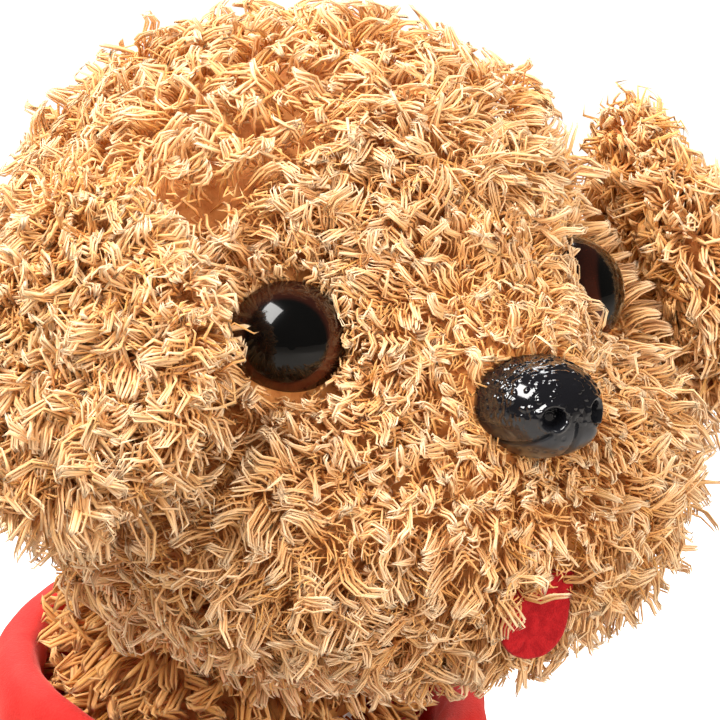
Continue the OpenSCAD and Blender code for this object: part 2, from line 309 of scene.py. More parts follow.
def tubes(name, path, radius, tone, rng, body, material, window=0.07, sides=3, flat=0.25):
    """Tufts as closed tapering tubes. Rings of three points stand square to the path, swell to the full
    radius and thin out to one tip point. Across the map a tuft takes its own narrow window, and
    along the map it runs from root to tip, so that colour follows the fibre."""
    count, points = path.shape[:2]
    rings = points - 1
    along = unit(np.gradient(path, axis=1))[:, :rings]
    hint = unit(rng.normal(size=(count, 1, 3)))
    first = unit(hint - np.sum(hint * along, axis=-1, keepdims=True) * along)
    second = np.cross(along, first)
    t = np.arange(rings) / rings
    swell = 0.75 + 0.35 * np.sin(math.pi * np.minimum(t * 1.1 + 0.05, 1)) ** 0.8
    size = np.broadcast_to(radius, (count,))[:, None] * swell[None, :]
    turn = 2 * math.pi * np.arange(sides) / sides
    ring = (np.cos(turn)[:, None] * first[:, :, None]
            + np.sin(turn)[:, None] * (1 - flat) * second[:, :, None])
    body_points = path[:, :rings, None] + ring * size[..., None, None]
    vertices = np.concatenate([body_points.reshape(count, -1, 3), path[:, -1:]], axis=1)
    per = rings * sides + 1
    k, j = np.meshgrid(np.arange(rings - 1), np.arange(sides), indexing="ij")
    n = (j + 1) % sides
    quads = np.stack([k * sides + j, k * sides + n, (k + 1) * sides + n, (k + 1) * sides + j],
                     axis=-1).reshape(-1, 4)
    low, up = k.ravel() / rings, (k.ravel() + 1) / rings
    left, right = j.ravel() / sides, (j.ravel() + 1) / sides
    quad_uv = np.stack([np.stack([left, low], -1), np.stack([right, low], -1),
                        np.stack([right, up], -1), np.stack([left, up], -1)], axis=1)
    j = np.arange(sides)
    n = (j + 1) % sides
    top = (rings - 1) * sides
    tips = np.stack([top + j, top + n, np.full(sides, rings * sides)], axis=-1)
    tip_v = (rings - 1) / rings
    tip_uv = np.stack([np.stack([j / sides, np.full(sides, tip_v)], -1),
                       np.stack([(j + 1) / sides, np.full(sides, tip_v)], -1),
                       np.stack([(j + 0.5) / sides, np.full(sides, 1.0)], -1)], axis=1)
    root = np.array([[2, 1, 0]])
    root_uv = np.array([[[1.0, 0.0], [0.5, 0.03], [0.0, 0.0]]])
    tri = np.concatenate([tips, root])
    tri_uv = np.concatenate([tip_uv, root_uv])
    start = (np.arange(count) * per)[:, None, None]
    shift = (0.004 + tone % 1 * (0.992 - window))[:, None, None]

    def spread(uv):
        placed = np.broadcast_to(uv[None], (count,) + uv.shape).copy()
        placed[..., 0] = shift + placed[..., 0] * window
        return placed.reshape(-1, 2)

    mixed_mesh(name, vertices.reshape(-1, 3), (quads[None] + start).reshape(-1, 4),
               (tri[None] + start).reshape(-1, 3), spread(quad_uv), spread(tri_uv), body, material)


def mixed_mesh(name, vertices, quads, tris, quad_uv, tri_uv, body, material):
    """A mesh of quads followed by triangles, with its own map, riding on a body."""
    loops = np.concatenate([quads.ravel(), tris.ravel()]).astype(np.int32)
    starts = np.concatenate([np.arange(len(quads)) * 4, len(quads) * 4 + np.arange(len(tris)) * 3])
    piece = add_mesh(name, (vertices * MM).astype(np.float32), loops, starts.astype(np.int32),
                     np.concatenate([quad_uv, tri_uv]).astype(np.float32).ravel())
    clothe(piece, body, material)


def combed(places, normals, wish, amount, length, seed):
    """Comb directions: the wished direction laid along the skin and turned about its normal by
    amount radians times a smooth random field, which makes the swirls."""
    flat = unit(across(wish, normals) + 1e-6)
    angle = (amount * waves(places, length, seed))[:, None]
    return np.cos(angle) * flat + np.sin(angle) * np.cross(normals, flat)


def crimped(path, normals, amount, cycles, phase):
    """Adds a sideways wave of that many cycles along each strand, starting at its own phase."""
    t = np.linspace(0, 1, path.shape[1])
    along = unit(np.gradient(path, axis=1))
    side = unit(np.cross(along, normals[:, None]))
    size = amount * np.minimum(t * 2.5, 1)[None, :]
    wave = size * (np.sin(2 * math.pi * cycles * t[None, :] + phase[:, None]) - np.sin(phase)[:, None] * 0.5)
    return path + side * wave[..., None]


# ---------------------------------------------------------------- shader nodes

def put(tree, kind, inputs=None, **settings):
    """A new node with settings; each input is given by name or number, as a socket or a value."""
    made = tree.nodes.new(kind)
    for key, value in settings.items():
        setattr(made, key, value)
    for key, value in (inputs or {}).items():
        socket = made.inputs[key]
        if isinstance(value, bpy.types.NodeSocket):
            tree.links.new(value, socket)
        else:
            socket.default_value = value
    return made


def maths(tree, operation, a, b=0.0, clamp=False):
    """The result of one arithmetic node."""
    return put(tree, "ShaderNodeMath", {0: a, 1: b}, operation=operation, use_clamp=clamp).outputs[0]


def vector_maths(tree, operation, inputs):
    """The outputs of one vector node: a vector, and a number."""
    return put(tree, "ShaderNodeVectorMath", inputs, operation=operation).outputs


def blended(tree, factor, a, b):
    """The result of one colour mix node."""
    return put(tree, "ShaderNodeMix", {0: factor, 6: a, 7: b}, data_type="RGBA").outputs[2]


def rising(tree, value, low, high):
    """A smooth rise from 0 at low to 1 at high."""
    return put(tree, "ShaderNodeMapRange", {"Value": value, "From Min": low, "From Max": high},
               interpolation_type="SMOOTHSTEP").outputs[0]


def noise(tree, vector, scale, detail=2.0, rough=0.5, warp=0.0):
    """A noise value of about 0.3 to 0.7."""
    return put(tree, "ShaderNodeTexNoise", {"Vector": vector, "Scale": scale, "Detail": detail,
                                            "Roughness": rough, "Distortion": warp}).outputs["Fac"]


KINDS = {"vector": "NodeSocketVector", "colour": "NodeSocketColor", "value": "NodeSocketFloat"}


def group(name, inputs, outputs):
    """An empty node group with named sockets; returns the tree, its input and its output node."""
    tree = bpy.data.node_groups.new(name, "ShaderNodeTree")
    for label, kind in inputs:
        tree.interface.new_socket(label, in_out="INPUT", socket_type=KINDS[kind])
    for label, kind in outputs:
        tree.interface.new_socket(label, in_out="OUTPUT", socket_type=KINDS[kind])
    return tree, tree.nodes.new("NodeGroupInput").outputs, tree.nodes.new("NodeGroupOutput").inputs


def fibre_colour_group():
    """Colour of a pile fibre: dark at its root, full in the middle, pale at its tip, in fine streaks
    along it, and lighter or darker from tuft to tuft; the dark, warm root is partly painted shade and painted
    glow deep in the pile."""
    tree, given, out = group("fibre_colour", [("Map", "vector"), ("Root", "colour"), ("Middle", "colour"),
                                              ("Tip", "colour"), ("Streaks", "value"), ("Variety", "value")],
                             [("Colour", "colour"), ("Streak", "value")])
    parts = put(tree, "ShaderNodeSeparateXYZ", {0: given["Map"]}).outputs
    # painted shade and glow: the darker, warmer root colour stands partly for the shade and the scattered
    # light deep in the pile
    lower = blended(tree, rising(tree, parts[1], 0.02, 0.5), given["Root"], given["Middle"])
    whole = blended(tree, rising(tree, parts[1], 0.45, 1.0), lower, given["Tip"])
    fine = put(tree, "ShaderNodeCombineXYZ", {0: maths(tree, "MULTIPLY", parts[0], 260.0),
                                              1: maths(tree, "MULTIPLY", parts[1], 2.5)}).outputs[0]
    streak = noise(tree, fine, 1.0, 3.0, 0.6, 0.3)
    wide = put(tree, "ShaderNodeCombineXYZ", {0: maths(tree, "MULTIPLY", parts[0], 23.0)}).outputs[0]
    tuft = noise(tree, wide, 1.0, 1.0)
    light = maths(tree, "ADD",
                  maths(tree, "MULTIPLY", maths(tree, "SUBTRACT", streak, 0.5), given["Streaks"]),
                  maths(tree, "MULTIPLY", maths(tree, "SUBTRACT", tuft, 0.5), given["Variety"]))
    value = maths(tree, "ADD", light, 1.0)
    strength = maths(tree, "SUBTRACT", 1.0, maths(tree, "MULTIPLY", light, 0.35))
    final = put(tree, "ShaderNodeHueSaturation", {"Color": whole, "Value": value, "Saturation": strength})
    tree.links.new(final.outputs[0], out["Colour"])
    tree.links.new(streak, out["Streak"])
    return tree


def mottle_group():
    """Two colours mixed by cloudy noise of a given grain, with a bump of the same noise."""
    tree, given, out = group("mottle", [("Position", "vector"), ("Dark", "colour"), ("Light", "colour"),
                                        ("Grain", "value"), ("Relief", "value")],
                             [("Colour", "colour"), ("Normal", "vector"), ("Mask", "value")])
    cloud = noise(tree, given["Position"], given["Grain"], 4.0, 0.6)
    mask = rising(tree, cloud, 0.32, 0.68)
    bump = put(tree, "ShaderNodeBump", {"Height": cloud, "Strength": given["Relief"], "Distance": 0.001})
    tree.links.new(blended(tree, mask, given["Dark"], given["Light"]), out["Colour"])
    tree.links.new(bump.outputs[0], out["Normal"])
    tree.links.new(mask, out["Mask"])
    return tree


def nap_group():
    """Velour and felt: broad soft patches where the nap lies differently, and a fine grain of fibre ends."""
    tree, given, out = group("nap", [("Position", "vector"), ("Deep", "colour"), ("Bright", "colour"),
                                     ("Patch", "value"), ("Grain", "value"), ("Relief", "value")],
                             [("Colour", "colour"), ("Normal", "vector")])
    patch = noise(tree, given["Position"], given["Patch"], 3.0, 0.55, 0.8)
    grain = noise(tree, given["Position"], given["Grain"], 2.0, 0.7)
    both = maths(tree, "ADD", maths(tree, "MULTIPLY", patch, 0.6), maths(tree, "MULTIPLY", grain, 0.4))
    mask = rising(tree, both, 0.36, 0.64)
    bump = put(tree, "ShaderNodeBump", {"Height": both, "Strength": given["Relief"], "Distance": 0.0006})
    tree.links.new(blended(tree, mask, given["Deep"], given["Bright"]), out["Colour"])
    tree.links.new(bump.outputs[0], out["Normal"])
    return tree


FIBRE, MOTTLE, NAP = fibre_colour_group(), mottle_group(), nap_group()


def material(name, **values):
    """A material with one Principled shader; returns the material, its tree and the shader."""
    made = bpy.data.materials.new(name)
    made.use_nodes = True
    shader = made.node_tree.nodes["Principled BSDF"]
    for key, value in values.items():
        shader.inputs[key.replace("_", " ")].default_value = value
    return made, made.node_tree, shader


def use(tree, node_group, **inputs):
    """The outputs of a group node in a material, its inputs given by name."""
    return put(tree, "ShaderNodeGroup", inputs, node_tree=node_group).outputs


def place_in(tree):
    """Object coordinates in a material."""
    return tree.nodes.new("ShaderNodeTexCoord").outputs["Object"]


def pile_material(name, root, middle, tip, streaks, variety):
    """Material of pile tufts, coloured along each fibre."""
    made, tree, shader = material(name, Roughness=0.75, Sheen_Weight=0.2, Sheen_Roughness=0.45,
                                  Sheen_Tint=(1.0, 0.8, 0.52, 1), Specular_IOR_Level=0.18)
    own = put(tree, "ShaderNodeUVMap", uv_map="OFBake").outputs[0]
    found = use(tree, FIBRE, Map=own, Root=root, Middle=middle, Tip=tip, Streaks=streaks, Variety=variety)
    tree.links.new(found["Colour"], shader.inputs["Base Color"])
    return made


def grained_material(name, node_group, inputs, **values):
    """Material whose colour and relief come from a node group at each place."""
    made, tree, shader = material(name, **values)
    found = use(tree, node_group, Position=place_in(tree), **inputs)
    tree.links.new(found["Colour"], shader.inputs["Base Color"])
    tree.links.new(found["Normal"], shader.inputs["Normal"])
    return made


def cloudy_material(name, dark, light, grain, relief, **values):
    """Material of two mottled colours."""
    return grained_material(name, MOTTLE, dict(Dark=dark, Light=light, Grain=grain, Relief=relief), **values)


def nap_material(name, deep, bright, patch, grain, relief, **values):
    """Material of a napped cloth."""
    return grained_material(name, NAP, dict(Deep=deep, Bright=bright, Patch=patch, Grain=grain,
                                            Relief=relief), **values)


# root colours partly painted: darker and more saturated to stand for shade and scattered glow deep in the
# pile
TUFT = pile_material("curly_pile_tufts", (0.84, 0.4, 0.12, 1), (0.89, 0.53, 0.24, 1), (0.95, 0.73, 0.49, 1),
                     1.0, 1.2)
# painted shade: a darker, more saturated copy of the pile colour, for strands deep in the pile, on the neck
# under the head and inside the ears
SHADED_WISP = pile_material("curly_pile_wisps_painted_shade", (0.82, 0.36, 0.09, 1), (0.87, 0.45, 0.15, 1), (0.91, 0.56, 0.25, 1),
                     0.5, 0.9)
SKIN = cloudy_material("pile_backing", (0.5, 0.17, 0.04, 1), (0.68, 0.29, 0.08, 1), 420.0, 0.6, Roughness=0.9)
VELOUR = nap_material("velour_red", (0.58, 0.02, 0.018, 1), (0.7, 0.034, 0.028, 1), 150.0, 3200.0, 0.45,
                      Roughness=0.8, Sheen_Weight=0.45, Sheen_Roughness=0.35, Sheen_Tint=(1.0, 0.35, 0.3, 1),
                      Specular_IOR_Level=0.2)
FELT = nap_material("felt_red", (0.3, 0.006, 0.01, 1), (0.5, 0.016, 0.02, 1), 700.0, 5200.0, 0.6,
                    Roughness=0.9, Sheen_Weight=0.5, Sheen_Roughness=0.4, Sheen_Tint=(1.0, 0.3, 0.3, 1),
                    Specular_IOR_Level=0.15)
PIPING = nap_material("piping_navy", (0.006, 0.01, 0.04, 1), (0.02, 0.03, 0.09, 1), 500.0, 2600.0, 0.5,
                      Roughness=0.7, Sheen_Weight=0.2)
TAPE = cloudy_material("fastener_tape", (0.3, 0.01, 0.01, 1), (0.45, 0.03, 0.03, 1),
                       2600.0, 0.8, Roughness=0.8)
FILLING = cloudy_material("fibre_filling", (0.7, 0.7, 0.68, 1), (0.9, 0.9, 0.88, 1),
                          300.0, 0.7, Roughness=0.95)
BAG = cloudy_material("cotton_bag", (0.7, 0.67, 0.6, 1), (0.85, 0.82, 0.75, 1), 1500.0, 0.4, Roughness=0.9)
BASE = cloudy_material("base_fabric", (0.36, 0.2, 0.1, 1), (0.52, 0.33, 0.17, 1), 1800.0, 0.5, Roughness=0.9)
WASHER = cloudy_material("washer_plastic", (0.6, 0.6, 0.58, 1), (0.72, 0.72, 0.7, 1),
                         350.0, 0.1, Roughness=0.4)


def eye_material(name, centre, axis):
    """Glossy eye: a black pupil, a reddish-brown ring with fine rays, and a dark edge, all told by the
    distance from the eye's axis; the ring carries painted shade at the top and a painted crescent of light
    below."""
    made, tree, shader = material(name, Roughness=0.2, Specular_IOR_Level=0.1, Coat_Weight=1.0,
                                  Coat_Roughness=0.01, Coat_IOR=1.38)
    start = vector_maths(tree, "SUBTRACT", {0: place_in(tree), 1: tuple(centre * MM)})[0]
    ahead = vector_maths(tree, "DOT_PRODUCT", {0: start, 1: tuple(axis)})[1]
    down = vector_maths(tree, "SCALE", {0: tuple(axis), "Scale": ahead})[0]
    flat = vector_maths(tree, "SUBTRACT", {0: start, 1: down})[0]
    radius = vector_maths(tree, "LENGTH", {0: flat})[1]
    way = vector_maths(tree, "NORMALIZE", {0: flat})[0]
    rays = noise(tree, way, 9.0, 4.0, 0.7)
    height = put(tree, "ShaderNodeSeparateXYZ", {0: way}).outputs[2]
    # painted shade and painted light: the ring is dark at the top and brightens below, a painted crescent of
    # light focused through the dome
    below = rising(tree, height, 0.7, -0.9)
    ring = blended(tree, rays, (0.03, 0.006, 0.003, 1), (0.12, 0.03, 0.012, 1))
    ring_with_painted_light = blended(tree, below, (0.02, 0.005, 0.003, 1), ring)
    pupil = rising(tree, radius, 0.0049, 0.0056)
    inner = blended(tree, pupil, (0.002, 0.002, 0.002, 1), ring_with_painted_light)
    edge = rising(tree, radius, 0.0063, 0.0071)
    tree.links.new(blended(tree, edge, inner, (0.012, 0.004, 0.003, 1)), shader.inputs["Base Color"])
    return made


def nose_material():
    """Moulded nose: wet black above, satin blue-grey below, by height, with a cloudy change of gloss."""
    made, tree, shader = material("nose_plastic", Coat_Weight=0.7, Coat_Roughness=0.05)
    at = place_in(tree)
    height = put(tree, "ShaderNodeSeparateXYZ", {0: at}).outputs[2]
    cloud = use(tree, MOTTLE, Position=at, Dark=(0.008, 0.009, 0.012, 1), Light=(0.02, 0.023, 0.03, 1),
                Grain=500.0, Relief=0.15)
    low = rising(tree, height, middle("nose")[2] * MM + 0.0005, middle("nose")[2] * MM - 0.0035)
    tree.links.new(blended(tree, low, (0.006, 0.006, 0.008, 1), cloud["Colour"]), shader.inputs["Base Color"])
    rough = maths(tree, "ADD", maths(tree, "MULTIPLY", low, 0.28), 0.12)
    tree.links.new(rough, shader.inputs["Roughness"])
    return made


# ---------------------------------------------------------------- where things are on the head

EYE_YAW, EYE_LIFT, EYE_RISE = math.radians(32), math.radians(6), 6.5
NOSE_LOW, NOSE_HIGH = corners("nose")
NOSE_FRONT = NOSE_LOW[1]
NOSE = np.array([0.0, NOSE_FRONT + 12.0, middle("nose")[2]])
NOSE_SHIFT = [0, -1.3, -0.5]
TONGUE_LOW, TONGUE_HIGH = corners("tongue")
TONGUE_ASIDE = 1.2
MUZZLE_LOW = corners("muzzle_pile")[0]
MUZZLE_HALF = np.array([39.0, 30.5, 24.5])
MUZZLE = np.array([0.0, MUZZLE_LOW[1] + MUZZLE_HALF[1], MUZZLE_LOW[2] + MUZZLE_HALF[2]])
BACKING = 6.5
PILE_OFF_GROUND = 0.7


def eye_place(node, side):
    """Apex and axis of an eye: the axis is known, and the apex is the mean of the foremost points."""
    axis = np.array([side * math.sin(EYE_YAW) * math.cos(EYE_LIFT), -math.cos(EYE_YAW) * math.cos(EYE_LIFT),
                     math.sin(EYE_LIFT)])
    mesh = frame["nodes"][node].data
    co = np.empty(len(mesh.vertices) * 3)
    mesh.vertices.foreach_get("co", co)
    co = co.reshape(-1, 3) / MM
    ahead = co @ axis
    apex = co[ahead > ahead.max() - 1.2].mean(axis=0)
    return apex + axis * (ahead.max() - apex @ axis), axis


EYES = [eye_place("eye_right", -1), eye_place("eye_left", 1)]
EYE_BASES = [apex - axis * EYE_RISE for apex, axis in EYES]


def off_eyes(path, radius):
    """True where no point of a path comes over an eye's dome."""
    clear = np.ones(len(path), bool)
    for base, (_, axis) in zip(EYE_BASES, EYES):
        rel = path - base
        ahead = rel @ axis
        aside = np.linalg.norm(rel - ahead[..., None] * axis, axis=-1)
        clear &= ~np.any((aside < radius) & (ahead > -3), axis=1)
    return clear


def off_nose(path, short=1.0):
    """True where no point of a path comes over the nose, but for a narrow edge."""
    half = (NOSE_HIGH - NOSE_LOW) / 2 - short
    x, y, z = (path[..., i] - NOSE[i] for i in range(3))
    return ~np.any((y < 0.5) & ((x / half[0]) ** 2 + (z / half[2]) ** 2 < 1), axis=1)


def off_tongue(path):
    """True where no point of a path comes over the lower part of the tongue, below a slanting line."""
    x, y, z = path[..., 0], path[..., 1], path[..., 2]
    line = TONGUE_LOW[2] + np.clip(4.5 + (x + 6.5) * 0.75, 3.5, 8.6)
    return ~np.any((np.abs(x + 1.2) < 5.2) & (y < TONGUE_LOW[1] + 3.4) & (z > TONGUE_LOW[2] - 0.5)
                   & (z < line), axis=1)


def clear_of_face(path):
    """True where a path keeps off the eyes, the nose and the tongue."""
    return off_eyes(path, 6.5) & off_nose(path) & off_tongue(path)


def value_at(given, places, normals):
    """A number, or what a function gives for these roots."""
    return given(places, normals) if callable(given) else given


def grow(name, grid, body, count, seed, keep, wish, length, radius=0.23, jitter=0.95, swirl=2.2,
         swirl_length=11.0, lean=0.45, bend=1.75, twist=1.3, strands=5, pull=0.84, crimp=0.75, cycles=1.2,
         lift=2.0, lumps=0.0, steps=5, clear=None, paint=None, split=None, window=0.05):
    """Pile on a skin. Roots are kept where keep says, raised from the skin by lift and by lumps times a
    smooth random field. They are grouped into locks: strands of one lock share their turn, lean, roll,
    wave and tone but for a little of their own. Strands that clear refuses are left out."""
    rng = np.random.default_rng(seed)
    places, normals = roots_on(grid, count, seed)
    kept = keep(places, normals)
    places, normals = places[kept], normals[kept]
    own, number = locks_of(places, strands, rng)

    def shared(of_lock, of_strand):
        return rng.normal(0, of_lock, number)[own] + rng.normal(0, of_strand, len(places))

    comb = combed(places, normals, value_at(wish, places, normals), swirl, swirl_length, seed + 5)
    turn = jitter * shared(1.0, 0.22)
    comb = np.cos(turn)[:, None] * comb + np.sin(turn)[:, None] * np.cross(normals, comb)
    long = value_at(length, places, normals) * np.clip(1 + shared(0.14, 0.1), 0.6, 1.3)
    hill = np.clip(1 + lumps * waves(places, 9.0, 301), 0.2, 1.8)
    base = places + normals * (value_at(lift, places, normals) * hill)[:, None]
    leans = lean + shared(0.2, 0.08)
    rolls = bend * np.clip(1 + shared(0.35, 0.1), 0.2, 2)
    path = curls(base, normals, comb, long, leans, rolls, twist * shared(1.0, 0.2), steps)
    size = crimp * np.clip(1 + shared(0.4, 0.1), 0, 2)[:, None]
    path = crimped(path, normals, size, cycles, shared(2.0, 0.25))
    path = drawn_together(path, own, number, pull)
    path[..., 2] = np.maximum(path[..., 2], PILE_OFF_GROUND)
    tone = rng.uniform(0, 1, number)[own] + rng.normal(0, 0.02, len(places))
    thick = radius * rng.uniform(0.7, 1.25, len(path))
    free = np.ones(len(path), bool) if clear is None else clear(path)
    for word, choice in split or [("", lambda p: p[:, 0] < np.inf)]:
        mine = free & choice(path[:, 0])
        label = f"{name}_{word}" if word else name
        tubes(label, path[mine], thick[mine], tone[mine], rng, body, TUFT if paint is None else paint, window)


def clothe(piece, body, paint, nodes=()):
    """Gives a piece its material and body, and hides the CAD nodes it stands for."""
    piece.data.materials.append(paint)
    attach(piece, body)
    if nodes:
        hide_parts(*nodes)
    return piece


def backing(name, grids, body, nodes):
    """The stuffed skin that pile grows on."""
    clothe(skin_piece(name, grids), body, SKIN, nodes)


SIDES = [("right", lambda p: p[:, 0] < 0), ("left", lambda p: p[:, 0] >= 0)]

# ---------------------------------------------------------------- head: skin, eyes, pile

head_balls = [(SKULL, np.full(3, SKULL_R - BACKING)), (MUZZLE, MUZZLE_HALF - BACKING),
              (np.array([0.0, -55.0, 168.0]), np.array([12.5, 15.5, 12.0]))]
for side in (-1, 1):
    head_balls.append((np.array([side * 25.0, -43.5, 159.5]), np.full(3, 12.5)))
HEAD_CENTRE = (SKULL * 2 + MUZZLE) / 3
head_grid = melted(head_balls, HEAD_CENTRE, 4.0)
backing("head_skin", [head_grid], "head", ("head_pile", "muzzle_pile"))


def ear_frame(word):
    """Middle of an ear, its directions down, out of its face and across, and its half length."""
    hinge = joint_at(f"ear_{word}_flop")
    axis = np.array(JOINTS[f"ear_{word}_flop"]["axis"])
    out = np.array([-axis[1], axis[0], 0.0])
    tilt = math.radians(15)
    down = np.array([0, 0, -math.cos(tilt)]) + out * math.sin(tilt)
    face = out * math.cos(tilt) + np.array([0, 0, math.sin(tilt)])
    half_long = (hinge[2] - corners(f"ear_{word}_pile")[0][2]) / math.cos(tilt) / 2 - 3.5
    return hinge + face * 2.8 + down * (half_long + 0.5), down, face, np.cross(down, face), half_long


EAR_HALF_WIDE = 17.5
EAR_FRAMES = [ear_frame("right"), ear_frame("left")]


def by_ears(p):
    """1 under the ears and just outside their edges, 0 away from them."""
    share = np.zeros(len(p))
    for centre, down, face, wide, half_long in EAR_FRAMES:
        rel = p - centre
        q = np.sqrt((rel @ wide / EAR_HALF_WIDE) ** 2 + (rel @ down / half_long) ** 2)
        below_root = smoothstep(-0.9, -0.6, rel @ down / half_long)
        share = np.maximum(share, smoothstep(1.42, 1.18, q) * (rel @ face > -22) * below_root)
    return share


def face_share(p):
    """1 on muzzle and face, 0 on the skull behind them."""
    return smoothstep(47, 38, distance(p, NOSE))


def from_eyes(p):
    """Distance to the nearer eye."""
    return np.minimum(*[distance(p, base) for base in EYE_BASES])


def head_wish(p, n):
    """Pile lies away from the eyes and the nose, and down the sides of the head."""
    wish = np.array([0.0, -0.1, -0.45]) + 0.35 * unit(p - SKULL) * [1, 1, 0]
    for centre, strength, size in [(EYE_BASES[0], 1.6, 10), (EYE_BASES[1], 1.6, 10), (NOSE, 2.2, 26)]:
        away = p - centre
        d = np.linalg.norm(away, axis=-1, keepdims=True)
        wish = wish + strength * away / d * np.exp(-(d / size) ** 2)
    return wish


def head_length(p, n):
    """Short round the eyes and the nose, long on the crown and the chin."""
    near_eye = 4.2 + np.maximum(from_eyes(p) - 8, 0) * 0.3
    d = distance(p, NOSE)
    near_nose = 3.4 + np.maximum(d - 9, 0) * (0.14 + 0.1 * smoothstep(160, 140, p[:, 2]))
    nape = 2.4 * smoothstep(158, 140, p[:, 2]) * smoothstep(-45, -25, p[:, 1])
    return np.minimum(np.minimum(6.4, near_eye), near_nose) * (1 - 0.45 * by_ears(p)) + nape


def head_lift(p, n):
    """How far the top layer starts above the backing: nothing at eyes, nose and ears, most on the crown."""
    d = distance(p, NOSE)
    from_temple = np.linalg.norm(p - [0, -34, 197] - np.sign(p) * [33, 0, 0], axis=-1)
    temple = 2.4 * np.exp(-(from_temple / 13) ** 2)
    free = (0.9 + 1.7 * smoothstep(8, 15, from_eyes(p))) * smoothstep(9, 20, d)
    return free * (1 - 0.9 * by_ears(p)) + temple


NECK = joint_at("neck_turn")


def off_neck(p):
    """True for roots that aren't over the neck."""
    return (np.hypot(p[:, 0], p[:, 1] - NECK[1]) > 19) | (p[:, 2] > 150)


def skull_keep(p, n):
    return (face_share(p) < 0.5) & off_neck(p)


def face_keep(p, n):
    return (face_share(p) >= 0.5) & off_neck(p)


def round_eyes(p, n):
    """True for roots in a narrow band round an eye."""
    near = np.zeros(len(p), bool)
    for base, (_, axis) in zip(EYE_BASES, EYES):
        rel = p - base
        aside = np.linalg.norm(rel - (rel @ axis)[:, None] * axis, axis=-1)
        near |= (aside > 6.3) & (aside < 11.5) & (rel @ axis > -9)
    return near


def rim_length(p, n):
    """Strands round an eye: short on the side of the nose, long outside and below."""
    inward = np.abs(EYE_BASES[0][0]) - np.abs(p[:, 0])
    return 2.8 + 2.6 * smoothstep(2.5, -2.5, inward)


ON_FACE = dict(clear=clear_of_face, split=SIDES)
UNDERCOAT = dict(strands=3, pull=0.3, steps=3, paint=SHADED_WISP, window=0.03)
grow("skull_tufts", head_grid, "head", 20500, 11, skull_keep, head_wish, head_length, lift=head_lift,
     lumps=0.55, **ON_FACE)
grow("skull_undercoat", head_grid, "head", 8000, 13, skull_keep, head_wish,
     lambda p, n: head_length(p, n) * 0.8, radius=0.2, jitter=1.2,
     lift=lambda p, n: head_lift(p, n) * 0.7, lumps=0.5, **ON_FACE, **UNDERCOAT)
grow("muzzle_tufts", head_grid, "head", 34000, 12, face_keep, head_wish,
     lambda p, n: head_length(p, n) * 1.15, radius=0.19, jitter=0.75, swirl=1.2, swirl_length=9.0,
     bend=1.4, strands=6, lift=lambda p, n: head_lift(p, n) * 0.7, lumps=0.5, **ON_FACE)
grow("muzzle_undercoat", head_grid, "head", 17000, 14, face_keep, head_wish,
     lambda p, n: head_length(p, n) * 0.9, radius=0.16, jitter=0.9, swirl=1.0,
     lift=lambda p, n: head_lift(p, n) * 0.5, lumps=0.4, **ON_FACE, **UNDERCOAT)
grow("eye_rim_tufts", head_grid, "head", 22000, 15, round_eyes, head_wish, rim_length,
     radius=0.2, jitter=0.4, swirl=0.3, lean=0.05, bend=0.9, crimp=0.3, lift=1.6, steps=4,
     clear=lambda path: off_eyes(path, 6.1), split=SIDES)

for number, (node, side) in enumerate([("eye_right", -1), ("eye_left", 1)]):
    eye = frame["nodes"][node]
    eye.data.materials.clear()
    apex, axis = EYES[number]
    eye.data.materials.append(eye_material(f"{node}_plastic", apex + [side * 0.7, 0, 0.5], axis))

# ---------------------------------------------------------------- nose


def forwards(tilt, turn):
    """Unit vectors at an angle of tilt from straight ahead, turned round that way by turn."""
    return np.stack([np.sin(tilt) * np.cos(turn), -np.cos(tilt), np.sin(tilt) * np.sin(turn)], axis=-1)


